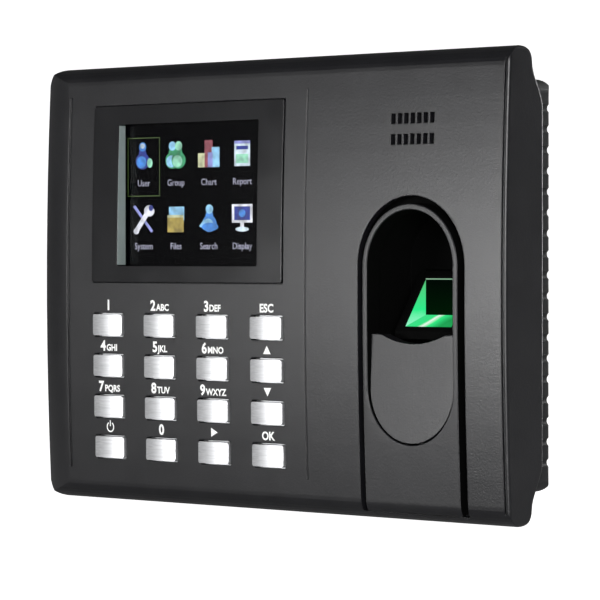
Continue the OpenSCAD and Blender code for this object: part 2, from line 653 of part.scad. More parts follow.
module board_screws() color("silver") at_wall() for (p = board_posts) mirror([0, 1, 0])
  translate([0, -2 * board_y, 0]) screw_y(p[0], p[1], 1, board_y - 7, board_y, 2.5, 1.6);

module reset_switch() color("#151618") at_wall() difference() {
  post_block(reset_at, 3, board_back, board_back + 3.5);
  post(reset_at[0], reset_at[1], 1.35, board_back + 1, board_back + 5);
}
module reset_button() color("#3f7fd0") at_wall()
  post(reset_at[0], reset_at[1], 1.1, board_back + 1.6, housing_d - 0.4);
module tamper_switch() color("#151618") at_wall() difference() {
  post_block(tamper_at, 3.5, board_back, board_back + 6);
  post(tamper_at[0], tamper_at[1], 2.15, board_back + 1, board_back + 8);
}
module tamper_plunger() color("#e0e0de") at_wall()
  post(tamper_at[0], tamper_at[1], 1.9, board_back + 3.4, depth - 0.2);

front_cover();
rear_cover();
wall_plate();
lock_screw();
case_screws();
display_frame();
display_window();
display_glass();
display_backlight();
display_tray();
display_flex();
finger_surround();
finger_rest();
sensor_cowl();
sensor_housing();
sensor_prism();
sensor_light_board();
sensor_lamps();
sensor_lens();
sensor_camera_board();
sensor_ribbon();
key_mat();
key_board();
key_board_screws();
key_board_flex();
speaker_gasket();
speaker_cone();
speaker_basket();
speaker_magnet();
speaker_lead();
main_board();
board_chips();
network_socket();
usb_socket();
power_jack();
wiring_header();
cell_holder();
coin_cell();
buzzer();
board_screws();
reset_switch();
reset_button();
tamper_switch();
tamper_plunger();
for (k = KEYS) key(k[1], k[2]);
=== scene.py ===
import json
import math

import bmesh
import bpy
from mathutils import Matrix, Vector

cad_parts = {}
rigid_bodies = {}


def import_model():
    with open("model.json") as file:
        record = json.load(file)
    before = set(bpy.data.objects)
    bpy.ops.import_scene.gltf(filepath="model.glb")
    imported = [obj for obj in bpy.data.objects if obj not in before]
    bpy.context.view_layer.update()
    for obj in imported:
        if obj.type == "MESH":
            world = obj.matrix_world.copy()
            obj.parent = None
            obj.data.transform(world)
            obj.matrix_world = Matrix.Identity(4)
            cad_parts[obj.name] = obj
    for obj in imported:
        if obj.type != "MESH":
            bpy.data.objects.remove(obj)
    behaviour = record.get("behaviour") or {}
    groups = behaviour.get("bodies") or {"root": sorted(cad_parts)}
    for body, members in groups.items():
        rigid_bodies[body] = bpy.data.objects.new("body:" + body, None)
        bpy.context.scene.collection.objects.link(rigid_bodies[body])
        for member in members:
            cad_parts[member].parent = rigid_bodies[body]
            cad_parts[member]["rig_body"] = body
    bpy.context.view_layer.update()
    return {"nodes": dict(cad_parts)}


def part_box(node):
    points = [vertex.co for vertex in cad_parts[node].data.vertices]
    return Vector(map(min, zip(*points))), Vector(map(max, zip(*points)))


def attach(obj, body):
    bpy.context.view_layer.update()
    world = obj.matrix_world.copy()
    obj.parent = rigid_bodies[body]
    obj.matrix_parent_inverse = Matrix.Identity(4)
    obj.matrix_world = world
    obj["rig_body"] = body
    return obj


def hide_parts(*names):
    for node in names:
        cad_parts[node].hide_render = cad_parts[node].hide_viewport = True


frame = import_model()
nodes = frame["nodes"]

# --- Front cover -------------------------------------------------------------------------------
# The charcoal shell that carries everything. Injection-moulded ABS from a spark-eroded tool, which
# gives it a fine dull grain; its edges have the small rounds that a mould leaves.

MM = 0.001
front_low, front_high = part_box("front_cover")
CASE_H = front_high.z - front_low.z
FACE_Y = front_low.y                     # the frontmost line of the crowned face
FACE_FALL = 2 * MM                       # how far the face falls back at its top and bottom
CROWN_R = ((CASE_H / 2) ** 2 + FACE_FALL ** 2) / (2 * FACE_FALL)


def face_y(z):
    """The y of the crowned face at height z."""
    return FACE_Y + CROWN_R - math.sqrt(CROWN_R ** 2 - z * z)


def srgb(code):
    """A linear colour from an sRGB hex code."""
    parts = [int(code[i:i + 2], 16) / 255 for i in (1, 3, 5)]
    return tuple(c / 12.92 if c <= 0.04045 else ((c + 0.055) / 1.055) ** 2.4 for c in parts) + (1.0,)


def add(tree, kind, settings=None, links=None):
    """Adds one node, with its settings and inputs, and the links that feed it."""
    made = tree.nodes.new(kind)
    for name, value in (settings or {}).items():
        if name in made.inputs:
            made.inputs[name].default_value = value
        else:
            setattr(made, name, value)
    for name, (source, output) in (links or {}).items():
        tree.links.new(source.outputs[output], made.inputs[name])
    return made


def surface(name, colour, roughness, settings=None):
    """A material with one shader, its even values set on the shader itself."""
    material = bpy.data.materials.new(name)
    material.use_nodes = True
    shader = material.node_tree.nodes["Principled BSDF"]
    shader.inputs["Base Color"].default_value = srgb(colour)
    shader.inputs["Roughness"].default_value = roughness
    for socket, value in (settings or {}).items():
        shader.inputs[socket].default_value = value
    return material, material.node_tree, shader


def grain(tree, shader, size, height, detail=2.0, squeeze=(1, 1, 1), edge=0.0):
    """Roughens a surface with noise of a real grain size and height, and can soften its edges."""
    where = add(tree, "ShaderNodeTexCoord")
    scaled = add(tree, "ShaderNodeMapping", {"Scale": squeeze}, {"Vector": (where, "Object")})
    noise = add(tree, "ShaderNodeTexNoise", {"Scale": 1 / size, "Detail": detail, "Roughness": 0.55},
                {"Vector": (scaled, "Vector")})
    bump = add(tree, "ShaderNodeBump", {"Strength": 1.0, "Distance": height}, {"Height": (noise, "Fac")})
    if edge:
        soft = add(tree, "ShaderNodeBevel", {"samples": 6, "Radius": edge})
        tree.links.new(soft.outputs["Normal"], bump.inputs["Normal"])
    tree.links.new(bump.outputs["Normal"], shader.inputs["Normal"])
    return noise, scaled


def mottle(tree, shader, source, size, dark, light, rough_low, rough_high):
    """Lets colour and gloss drift slowly over a surface, as flow and handling leave them."""
    cloud = add(tree, "ShaderNodeTexNoise", {"Scale": 1 / size, "Detail": 3.0},
                {"Vector": (source, "Vector")})
    ramp = add(tree, "ShaderNodeValToRGB", links={"Fac": (cloud, "Fac")})
    ramp.color_ramp.elements[0].position = 0.3
    ramp.color_ramp.elements[1].position = 0.7
    ramp.color_ramp.elements[0].color = srgb(dark)
    ramp.color_ramp.elements[1].color = srgb(light)
    tree.links.new(ramp.outputs["Color"], shader.inputs["Base Color"])
    gloss = add(tree, "ShaderNodeMapRange", {"To Min": rough_low, "To Max": rough_high},
                {"Value": (cloud, "Fac")})
    tree.links.new(gloss.outputs["Result"], shader.inputs["Roughness"])


def dress(node, material):
    """Gives a CAD node, whose shape is kept, its material."""
    nodes[node].data.materials.clear()
    nodes[node].data.materials.append(material)


# ABS from a spark-eroded tool: dark charcoal, dull, with a grain that is drawn a little coarse to show.
# The shader rounds the edges, because this shell keeps the mesh it came with.
abs_spark, tree, shader = surface("ABS moulded spark grain", "#17171a", 0.31)
_, scaled = grain(tree, shader, 0.6 * MM, 0.036 * MM, detail=3.0, edge=0.5 * MM)
mottle(tree, shader, scaled, 11 * MM, "#141417", "#1a1a1d", 0.29, 0.34)
dress("front_cover", abs_spark)

# --- Rear cover --------------------------------------------------------------------------------
# The narrower tub behind the front, black ABS with a coarser grain and grip grooves down its sides.
# It is moulded in one piece and screwed to the front cover from behind.

abs_rear, tree, shader = surface("ABS moulded black coarse grain", "#121315", 0.46)
_, scaled = grain(tree, shader, 0.7 * MM, 0.02 * MM)
mottle(tree, shader, scaled, 12 * MM, "#101113", "#16171a", 0.42, 0.54)


def eased(node, name, width, segments=2, angle=32):
    """A copy of a CAD node's shape with its hard edges rounded, which then stands for the node."""
    source = nodes[node]
    mesh = bmesh.new()
    mesh.from_mesh(source.data)
    bmesh.ops.remove_doubles(mesh, verts=mesh.verts, dist=0.002 * MM)
    bmesh.ops.dissolve_limit(mesh, angle_limit=math.radians(0.2), verts=mesh.verts, edges=mesh.edges)
    sharp = [e for e in mesh.edges if len(e.link_faces) == 2 and e.calc_face_angle(0) > math.radians(angle)]
    bmesh.ops.bevel(mesh, geom=sharp, offset=width, segments=segments, profile=0.5,
                    affect="EDGES", clamp_overlap=True, miter_outer="ARC")
    bmesh.ops.triangulate(mesh, faces=[f for f in mesh.faces if len(f.verts) > 4])
    data = bpy.data.meshes.new(name)
    mesh.to_mesh(data)
    mesh.free()
    piece = bpy.data.objects.new(name, data)
    bpy.context.scene.collection.objects.link(piece)
    data.shade_smooth()
    data.set_sharp_from_angle(angle=math.radians(50))
    even = piece.modifiers.new("even_shade", "WEIGHTED_NORMAL")
    even.keep_sharp = True
    even.weight = 80
    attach(piece, source["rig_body"])
    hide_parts(node)
    return piece


def wear(piece, material):
    """Gives a piece its material."""
    piece.data.materials.clear()
    piece.data.materials.append(material)


wear(eased("rear_cover", "rear_cover_shell", 0.45 * MM, segments=3), abs_rear)

# --- Wall plate and outside screws -------------------------------------------------------------
# A plate punched and folded from 1.6 mm steel and zinc plated. The case hangs on its four hooks, and
# one small screw from below holds it there; four self-tapping screws hold the two covers together.

# Zinc plate over rolled steel: bright grey crystals a few millimetres across, and fine rolling lines.
zinc_plate, tree, shader = surface("Steel sheet zinc plated", "#a3a6aa", 0.4, {"Metallic": 1.0})
_, scaled = grain(tree, shader, 0.35 * MM, 0.006 * MM, squeeze=(0.06, 1, 1))
where = add(tree, "ShaderNodeTexCoord")
crystal = add(tree, "ShaderNodeTexVoronoi", {"Scale": 1 / (4 * MM)}, {"Vector": (where, "Object")})
shades = add(tree, "ShaderNodeValToRGB", links={"Fac": (crystal, "Color")})
shades.color_ramp.elements[0].color = srgb("#9da1a6")
shades.color_ramp.elements[1].color = srgb("#b4b7ba")
tree.links.new(shades.outputs["Color"], shader.inputs["Base Color"])
dull = add(tree, "ShaderNodeMapRange", {"To Min": 0.3, "To Max": 0.5}, {"Value": (crystal, "Color")})
tree.links.new(dull.outputs["Result"], shader.inputs["Roughness"])

zinc_screw, tree, shader = surface("Steel screw zinc plated", "#b9bbbd", 0.28, {"Metallic": 1.0})
_, scaled = grain(tree, shader, 0.3 * MM, 0.004 * MM)
mottle(tree, shader, scaled, 2 * MM, "#a8abae", "#c6c8ca", 0.22, 0.38)

wear(eased("wall_plate", "wall_plate_sheet", 0.25 * MM), zinc_plate)
for node in ("lock_screw", "case_screws"):
    wear(eased(node, node + "_turned", 0.12 * MM), zinc_screw)
for node in ("key_board_screws", "board_screws"):
    dress(node, zinc_screw)

# --- Finger surround and finger rest -----------------------------------------------------------
# The raised arch round the well and the ramp that guides the finger, both moulded in the same
# grained ABS as the cover; the rim is rounded over.

abs_trim, tree, shader = surface("ABS moulded fine grain", "#161618", 0.36)
_, scaled = grain(tree, shader, 0.6 * MM, 0.034 * MM, detail=3.0)
mottle(tree, shader, scaled, 8 * MM, "#161619", "#1c1c1f", 0.34, 0.39)

surround = eased("finger_surround", "finger_surround_trim", 0.45 * MM, segments=3)
wear(surround, abs_trim)
wear(eased("finger_rest", "finger_rest_trim", 0.2 * MM), abs_trim)

# --- Finger well -------------------------------------------------------------------------------
# The lining of the well and the sensor's housing, black polycarbonate kept dull so that stray
# light does not reach the camera.

dull_black_and_shade, tree, shader = surface("Polycarbonate moulded dull black and painted shade", "#020202", 0.8,
                                 {"Specular IOR Level": 0.08})
grain(tree, shader, 0.5 * MM, 0.01 * MM)
for node in ("sensor_cowl", "sensor_housing"):
    wear(eased(node, node + "_lining", 0.15 * MM), dull_black_and_shade)

# The same dull black is put on the side walls of the surround and on its faces set back behind the rim. This
# is painted shade in the groove round it and down into the well.
RIM_D = 3 * MM
EDGE_ON = 0.2                            # a face that turns less than this to the front is a side wall
surround.data.materials.append(dull_black_and_shade)
for face in surround.data.polygons:
    if abs(face.normal.y) < EDGE_ON or face.center.y > face_y(face.center.z) + RIM_D:
        face.material_index = 1

# --- Display frame and window ------------------------------------------------------------------
# A polished black bezel stands just proud of the face, and a clear acrylic window is glued in
# behind its opening.

gloss_black_and_wall_light, tree, shader = surface("ABS polished black with painted wall light", "#101013", 0.2)
_, scaled = grain(tree, shader, 3 * MM, 0.002 * MM, detail=1.0, edge=0.3 * MM)
mottle(tree, shader, scaled, 9 * MM, "#0f0f12", "#131316", 0.17, 0.24)

# The side walls of the opening get a light grey-green in place of the bezel's black. This is painted light,
# standing in for the light they catch beside the dark glass.
window_low, window_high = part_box("display_window")
SQUARE_ON = 0.9                          # a wall counts as a side wall when it faces this far sideways
own_colour = shader.inputs["Base Color"].links[0].from_socket
shape = add(tree, "ShaderNodeNewGeometry")
across = add(tree, "ShaderNodeSeparateXYZ", links={"Vector": (shape, "Position")})
facing = add(tree, "ShaderNodeSeparateXYZ", links={"Vector": (shape, "True Normal")})
from_middle = add(tree, "ShaderNodeMath", {"operation": "SUBTRACT"}, {"Value": (across, "X")})
from_middle.inputs[1].default_value = (window_low.x + window_high.x) / 2
distance = add(tree, "ShaderNodeMath", {"operation": "ABSOLUTE"}, {"Value": (from_middle, "Value")})
inner = add(tree, "ShaderNodeMath", {"operation": "LESS_THAN"}, {"Value": (distance, "Value")})
inner.inputs[1].default_value = (window_high.x - window_low.x) / 2
turned = add(tree, "ShaderNodeMath", {"operation": "ABSOLUTE"}, {"Value": (facing, "X")})
sideways = add(tree, "ShaderNodeMath", {"operation": "GREATER_THAN"}, {"Value": (turned, "Value")})
sideways.inputs[1].default_value = SQUARE_ON
lit_wall_mask = add(tree, "ShaderNodeMath", {"operation": "MULTIPLY"}, {"Value": (inner, "Value")})
tree.links.new(sideways.outputs["Value"], lit_wall_mask.inputs[1])
# A Mix node's sockets share names, so its colour ones are given by place: share, two colours, result.
# Painted light: the side walls of the opening are mixed to a light grey-green.
painted_wall_light = add(tree, "ShaderNodeMix", {"data_type": "RGBA"})
tree.links.new(lit_wall_mask.outputs["Value"], painted_wall_light.inputs[0])
tree.links.new(own_colour, painted_wall_light.inputs[6])
painted_wall_light.inputs[7].default_value = srgb("#8b9795")
tree.links.new(painted_wall_light.outputs[2], shader.inputs["Base Color"])
dress("display_frame", gloss_black_and_wall_light)

acrylic, tree, shader = surface("Acrylic polished clear", "#000000", 0.03, {"IOR": 1.49, "Alpha": 0.03})
grain(tree, shader, 8 * MM, 0.0001 * MM, detail=0.0)
dress("display_window", acrylic)

# --- Display panel -----------------------------------------------------------------------------
# A colour liquid-crystal panel in a tinned steel tray, with a white light guide behind it and an
# amber flat cable to the main board. It shows a menu of eight pictures, the first one framed.

glass_dark, tree, shader = surface("Liquid crystal glass dark", "#010103", 0.15, {"Specular IOR Level": 0.15})
grain(tree, shader, 0.36 * MM, 0.00005 * MM, detail=0.0)
dress("display_glass", glass_dark)

diffuser, tree, shader = surface("Acrylic light guide white", "#e9ecec", 0.55, {"Subsurface Weight": 0.1})
grain(tree, shader, 0.8 * MM, 0.004 * MM)
dress("display_backlight", diffuser)

tin, tree, shader = surface("Steel tinned and stamped", "#c4c6c8", 0.3, {"Metallic": 1.0})
_, scaled = grain(tree, shader, 0.4 * MM, 0.004 * MM, squeeze=(0.1, 1, 1))
mottle(tree, shader, scaled, 5 * MM, "#b4b7ba", "#cfd1d3", 0.24, 0.4)
dress("display_tray", tin)

# Polyimide film: clear amber over copper tracks half a millimetre apart.
film, tree, shader = surface("Polyimide film amber", "#b5651d", 0.25, {"Coat Weight": 0.5})
where = add(tree, "ShaderNodeTexCoord")
tracks = add(tree, "ShaderNodeTexWave", {"Scale": 1 / (20 * 0.5 * MM), "bands_direction": "X"},
             {"Vector": (where, "Object")})
copper = add(tree, "ShaderNodeValToRGB", links={"Fac": (tracks, "Fac")})
copper.color_ramp.elements[0].color = srgb("#8a4210")
copper.color_ramp.elements[1].color = srgb("#c9812c")
tree.links.new(copper.outputs["Color"], shader.inputs["Base Color"])
for node in ("display_flex", "key_board_flex", "sensor_ribbon"):
    dress(node, film)

panel_low, panel_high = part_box("display_glass")
SCREEN = Vector(((panel_low.x + panel_high.x) / 2 - 1.6 * MM, (window_high.y + panel_low.y) / 2,
                 (panel_low.z + panel_high.z) / 2))
COLUMN, ROW_TOP, ROW_BOTTOM = 14.4 * MM, 12.3 * MM, -7.6 * MM   # pitch of the pictures, and two heights
ICON_WIDE = 1.3                          # how much wider a picture is than it is drawn
LABEL_DROP = 8.7 * MM                    # how far a label's middle lies below its picture
LABEL_H, LABEL_FOOT = 2.1 * MM, 0.8 * MM
LAYER = 0.006 * MM                       # step between flat shapes that overlap
TONES = {
    "navy": "#14309a", "blue": "#3f8fe8", "sky": "#9ad8ff", "ice": "#dff2ff", "leaf": "#2f9e6a",
    "mint": "#9fe8c8", "rose": "#9a4858", "lilac": "#9aa0e8", "sand": "#b7a24c", "cream": "#d8dcb0",
    "white": "#f2f4ff", "frame": "#557035", "grey": "#b4b4cc",
}
CELL = 0.36 * MM                         # two picture cells, drawn coarse so that they show
CELL_DIM = 0.82                          # how bright every other cell is


def lit(tone):
    """A colour of the screen: light that comes through a fine grid of picture cells."""
    material, tree, shader = surface("Screen light " + tone, "#000000", 0.4, {"Emission Strength": 1.0})
    where = add(tree, "ShaderNodeTexCoord")
    cells = add(tree, "ShaderNodeTexChecker", {"Scale": 1 / CELL, "Color1": srgb(TONES[tone])},
                {"Vector": (where, "Object")})
    cells.inputs["Color2"].default_value = tuple(c * CELL_DIM for c in srgb(TONES[tone])[:3]) + (1.0,)
    cloud = add(tree, "ShaderNodeTexNoise", {"Scale": 1 / (2.6 * MM), "Detail": 1.0},
                {"Vector": (where, "Object")})
    glow = add(tree, "ShaderNodeMapRange", {"From Min": 0.3, "From Max": 0.7, "To Min": 0.55, "To Max": 1.25},
               {"Value": (cloud, "Fac")})
    shaded = add(tree, "ShaderNodeVectorMath", {"operation": "SCALE"},
                 {"Scale": (glow, "Result"), "Vector": (cells, "Color")})
    tree.links.new(shaded.outputs["Vector"], shader.inputs["Emission Color"])
    return material


def disc(x, z, wide, high, turns=28, start=0.0, end=360.0):
    """Points round an ellipse, or round a part of one."""
    steps = [math.radians(start + (end - start) * i / turns) for i in range(turns + (end - start < 360))]
    return [(x + wide / 2 * math.cos(a), z + high / 2 * math.sin(a)) for a in steps]


def bar(x0, z0, x1, z1):
    """The corners of an upright rectangle."""
    return [(x0, z0), (x1, z0), (x1, z1), (x0, z1)]


def rod(x0, z0, x1, z1, wide):
    """The corners of a straight bar between two points."""
    run = Vector((x1 - x0, z1 - z0)).normalized() * wide / 2
    return [(x0 - run.y, z0 + run.x), (x0 + run.y, z0 - run.x),
            (x1 + run.y, z1 - run.x), (x1 - run.y, z1 + run.x)]


def figure(x, dark, light):
    """A head and shoulders, x millimetres off the middle."""
    return [(disc(x, -1.6, 4.8, 5.2), dark), (disc(x, 0.6, 2.6, 4.0), dark),
            (disc(x - 0.4, -1.9, 3.4, 3.8), light), (disc(x, 2.9, 2.5, 2.9), light)]


ICONS = [
    figure(-0.4, "navy", "blue") + [(disc(2.1, -2.2, 1.9, 3.0), "mint"), (disc(-0.4, 3.2, 1.6, 1.6), "ice")],
    figure(-1.2, "leaf", "sky") + figure(0.9, "leaf", "mint"),
    [(bar(-3.6, -4.0, -1.1, 0.4), "cream"), (bar(-1.4, -4.0, 1.3, 4.4), "rose"),
     (bar(1.0, -4.0, 3.6, 2.2), "sky"), (bar(-0.3, -4.0, 1.3, 0.6), "lilac")],
    [(bar(-2.6, -3.9, 2.6, 3.9), "ice"), (bar(-2.6, 3.0, 2.6, 3.9), "lilac"),
     (bar(-1.9, 1.2, 1.9, 2.3), "navy"), (bar(-2.0, -3.0, 2.0, -0.2), "mint")],
    [(rod(-3.4, 4.2, 2.9, -4.0, 0.9), "lilac"), (rod(-2.6, -3.8, 1.4, 2.2, 1.6), "white"),
     (disc(-2.6, -3.8, 1.9, 1.9), "white"), (disc(1.9, 2.6, 3.6, 3.6, start=80, end=370), "white"),
     (disc(2.5, 3.5, 1.5, 1.9), "navy")],
    [(bar(-2.4, -0.5, 2.8, 3.8), "sky"), (bar(-2.9, -4.2, 2.6, 0.9), "sand"),
     (bar(-2.9, 0.4, 2.6, 1.2), "cream")],
    figure(0.2, "blue", "sky") + [(disc(0.4, -2.6, 5.6, 2.6), "blue"),
                                  (rod(-2.9, -2.6, -1.4, -0.6, 0.8), "sky")],
    [(bar(-3.4, -1.4, 3.4, 4.3), "white"), (bar(-2.6, -0.6, 2.6, 3.6), "navy"),
     (disc(0.0, 1.5, 2.2, 2.4), "blue"), (bar(-0.6, -3.0, 0.6, -1.4), "white"),
     (disc(0, -3.4, 4.4, 1.5), "ice")],
]
LABELS = ["User", "Group", "Chart", "Report", "System", "Files", "Search", "Display"]
lights = {tone: lit(tone) for tone in TONES}


def slot_at(index):
    """The middle of a picture on the screen."""
    row = index // 4
    return SCREEN.x + (index % 4 - 1.5) * COLUMN, SCREEN.z + (ROW_BOTTOM if row else ROW_TOP)


def finish(mesh, name, materials, body):
    """Turns a bmesh into a piece that rides on a body."""
    data = bpy.data.meshes.new(name)
    mesh.to_mesh(data)
    mesh.free()
    piece = bpy.data.objects.new(name, data)
    bpy.context.scene.collection.objects.link(piece)
    for material in materials:
        data.materials.append(material)
    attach(piece, body)
    return piece


FONT_SIZE = 1.37                         # the plain font's capitals are 0.73 of its size


def lettering(mesh, text, height, x, z, depth_at, thick, align="CENTER", material=0, bold=0.03):
    """Sets a word on a surface whose y is depth_at(z), adds it to a mesh and gives back its points."""
    curve = bpy.data.curves.new("word", "FONT")
    curve.body = text
    curve.size = height * FONT_SIZE
    curve.align_x = align
    curve.extrude = thick / 2
    curve.offset = bold * height
    curve.resolution_u = 3
    holder = bpy.data.objects.new("word", curve)
    bpy.context.scene.collection.objects.link(holder)
    bpy.context.view_layer.update()
    shape = bpy.data.meshes.new_from_object(holder.evaluated_get(bpy.context.evaluated_depsgraph_get()))
    made = [mesh.verts.new((x + v.co.x, depth_at(z + v.co.y) - thick / 2 - v.co.z, z + v.co.y))
            for v in shape.vertices]
    for face in shape.polygons:
        corner = [made[i] for i in face.vertices]
        if len(set(corner)) == len(corner):
            mesh.faces.new(corner).material_index = material
    bpy.data.objects.remove(holder)
    bpy.data.curves.remove(curve)
    bpy.data.meshes.remove(shape)
    return made


picture = bmesh.new()
tone_names = list(TONES)
for index, icon in enumerate(ICONS):
    at_x, at_z = slot_at(index)
    for layer, (outline, tone) in enumerate(icon):
        ring = [picture.verts.new((at_x + x * ICON_WIDE * MM, SCREEN.y - layer * LAYER, at_z + z * MM))
                for x, z in outline]
        picture.faces.new(ring).material_index = tone_names.index(tone)
    lettering(picture, LABELS[index], LABEL_H, at_x, at_z - LABEL_DROP - LABEL_FOOT, lambda z: SCREEN.y,
              LAYER, material=tone_names.index("grey"), bold=0.01)
mark_x, mark_z = slot_at(0)
FRAME_X, FRAME_LOW, FRAME_TOP, FRAME_LINE = 7, -12.7, 5.8, 0.2  # the frame round the first picture, in mm
for outline in (bar(-FRAME_X - FRAME_LINE, FRAME_LOW, -FRAME_X, FRAME_TOP),
                bar(FRAME_X, FRAME_LOW, FRAME_X + FRAME_LINE, FRAME_TOP),
                bar(-FRAME_X, FRAME_LOW, FRAME_X, FRAME_LOW + FRAME_LINE),
                bar(-FRAME_X, FRAME_TOP - FRAME_LINE, FRAME_X, FRAME_TOP)):
    ring = [picture.verts.new((mark_x + x * MM, SCREEN.y, mark_z + z * MM)) for x, z in outline]
    picture.faces.new(ring).material_index = tone_names.index("frame")
finish(picture, "screen_picture", [lights[tone] for tone in tone_names], "case")

# --- Keys --------------------------------------------------------------------------------------
# Sixteen moulded caps sprayed satin silver, with faint lines across from the brushing of the tool.
# A grey silicone mat under them gives the spring, and a small board under that closes the contacts.

silver, tree, shader = surface("Silver paint satin brushed", "#d4d5d7", 0.4, {"Metallic": 0.7})
lines, scaled = grain(tree, shader, 0.45 * MM, 0.0007 * MM, squeeze=(0.03, 1, 1))
shade = add(tree, "ShaderNodeValToRGB", links={"Fac": (lines, "Fac")})
shade.color_ramp.elements[0].position = 0.3
shade.color_ramp.elements[0].color = srgb("#c6c7c9")
shade.color_ramp.elements[1].position = 0.7
shade.color_ramp.elements[1].color = srgb("#dedfe1")
tree.links.new(shade.outputs["Color"], shader.inputs["Base Color"])
KEY_ROWS = [["key_1", "key_2", "key_3", "key_esc"], ["key_4", "key_5", "key_6", "key_up"],
            ["key_7", "key_8", "key_9", "key_down"], ["key_power", "key_0", "key_right", "key_ok"]]
for node in sum(KEY_ROWS, []):
    wear(eased(node, node + "_cap", 0.28 * MM, segments=3), silver)

silicone, tree, shader = surface("Silicone moulded grey", "#5c5e61", 0.7, {"Subsurface Weight": 0.05})
grain(tree, shader, 1.2 * MM, 0.01 * MM)
dress("key_mat", silicone)

# Solder mask: green lacquer over copper tracks, laid out at right angles about 1.3 mm apart.
mask_green, tree, shader = surface("Circuit board green solder mask", "#14602f", 0.3, {"Coat Weight": 0.4})
where = add(tree, "ShaderNodeTexCoord")
turned = add(tree, "ShaderNodeMapping", {"Rotation": (math.pi / 2, 0, 0)}, {"Vector": (where, "Object")})
tracks = add(tree, "ShaderNodeTexBrick",
             {"Scale": 1.0, "Brick Width": 9 * MM, "Row Height": 1.27 * MM, "Mortar Size": 0.22 * MM,
              "Color1": srgb("#125a2b"), "Color2": srgb("#156632"), "Mortar": srgb("#2c8a4c")},
             {"Vector": (turned, "Vector")})
tree.links.new(tracks.outputs["Color"], shader.inputs["Base Color"])
raised = add(tree, "ShaderNodeBump", {"Strength": 1.0, "Distance": 0.035 * MM}, {"Height": (tracks, "Fac")})
tree.links.new(raised.outputs["Normal"], shader.inputs["Normal"])
for node in ("key_board", "main_board", "sensor_light_board", "sensor_camera_board"):
    dress(node, mask_green)

# --- Legends -----------------------------------------------------------------------------------
# White ink pad-printed on the face above each key: large figures, small letters and plain arrows.

# The ink is given a faint glow of its own: painted light that keeps it bright.
ink, tree, shader = surface("Pad-printed ink white with painted glow", "#f4f4f2", 0.5,
                          {"Emission Color": srgb("#ffffff"), "Emission Strength": 0.22})
grain(tree, shader, 0.3 * MM, 0.003 * MM)
LEGENDS = [[("1", ""), ("2", "ABC"), ("3", "DEF"), ("", "ESC")],
           [("4", "GHI"), ("5", "JKL"), ("6", "MNO"), "up"],
           [("7", "PQRS"), ("8", "TUV"), ("9", "WXYZ"), "down"],
           ["power", ("0", ""), "right", ("", "OK")]]
FIGURE_H, LETTER_H, SOLO_H, INK = 3.3 * MM, 2.1 * MM, 2.6 * MM, 0.02 * MM
KEY_FLANGE = 1.0 * MM                    # how far a key's hidden flange reaches above its cap
LEGEND_RISE = 1.5 * MM                   # from the top of a key's cap to the foot of its legend
WORD_GAP = 0.35 * MM                     # between a figure and its letters
ARROWS = {"up": [(-1.6, 0.2), (1.6, 0.2), (0, 2.8)], "down": [(-1.6, 2.9), (0, 0.3), (1.6, 2.9)],
          "right": [(-1.3, 0.1), (1.5, 1.5), (-1.3, 2.9)]}


def on_face(z):
    """Just ahead of the crowned face, so that ink lies on it."""
    return face_y(z) - 0.008 * MM


def patch(mesh, outline, x, z):
    """Adds one flat printed shape, given in millimetres, to a mesh that lies on the face."""
    mesh.faces.new([mesh.verts.new((x + px * MM, on_face(z + pz * MM) - INK, z + pz * MM))
                    for px, pz in outline])


printed = bmesh.new()
for key_row, marks in zip(KEY_ROWS, LEGENDS):
    for node, mark in zip(key_row, marks):
        low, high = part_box(node)
        at_x, foot = (low.x + high.x) / 2, high.z + LEGEND_RISE - KEY_FLANGE
        if mark in ARROWS:
            patch(printed, ARROWS[mark], at_x, foot)
        elif mark == "power":
            circle = disc(0, 1.6, 3.4, 3.4, start=120, end=420)
            inner = disc(0, 1.6, 2.5, 2.5, start=120, end=420)
            for a, b, c, d in zip(circle, circle[1:], inner[1:], inner):
                patch(printed, [a, b, c, d], at_x, foot)
            patch(printed, bar(-0.22, 1.8, 0.22, 3.7), at_x, foot)
        else:
            large, small = mark
            made, pen = [], at_x
            for word, height in ((large, FIGURE_H), (small, LETTER_H if large else SOLO_H)):
                if word:
                    made += lettering(printed, word, height, pen, foot, on_face, INK, "LEFT", bold=0.045)
                    pen = max(v.co.x for v in made) + WORD_GAP
            middle = (min(v.co.x for v in made) + max(v.co.x for v in made)) / 2
            for v in made:
                v.co.x += at_x - middle
finish(printed, "key_legends", [ink], "case")

# --- Sensor ------------------------------------------------------------------------------------
# The glass prism that the finger presses on. Green lamps below it light its side and its foot, and a small
# camera behind looks at the slanted face. In the glass that light is painted: faces just inside it glow.

prism_low, prism_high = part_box("sensor_prism")
SKIN = 0.12 * MM                        # how far the lit faces lie inside the glass
FOOT_RISE = 3.3 * MM                    # how much higher the lit foot is at the back than at the front
EDGE_H = 0.35 * MM                      # height of the painted pale highlight along the top edge
BLOOM = 0.16                            # how far the colour drifts along its run

glass, tree, shader = surface("Optical glass polished", "#000000", 0.04, {"IOR": 1.52, "Alpha": 0.06})
grain(tree, shader, 6 * MM, 0.0003 * MM, detail=0.0)
wear(eased("sensor_prism", "sensor_prism_glass", 0.2 * MM), glass)


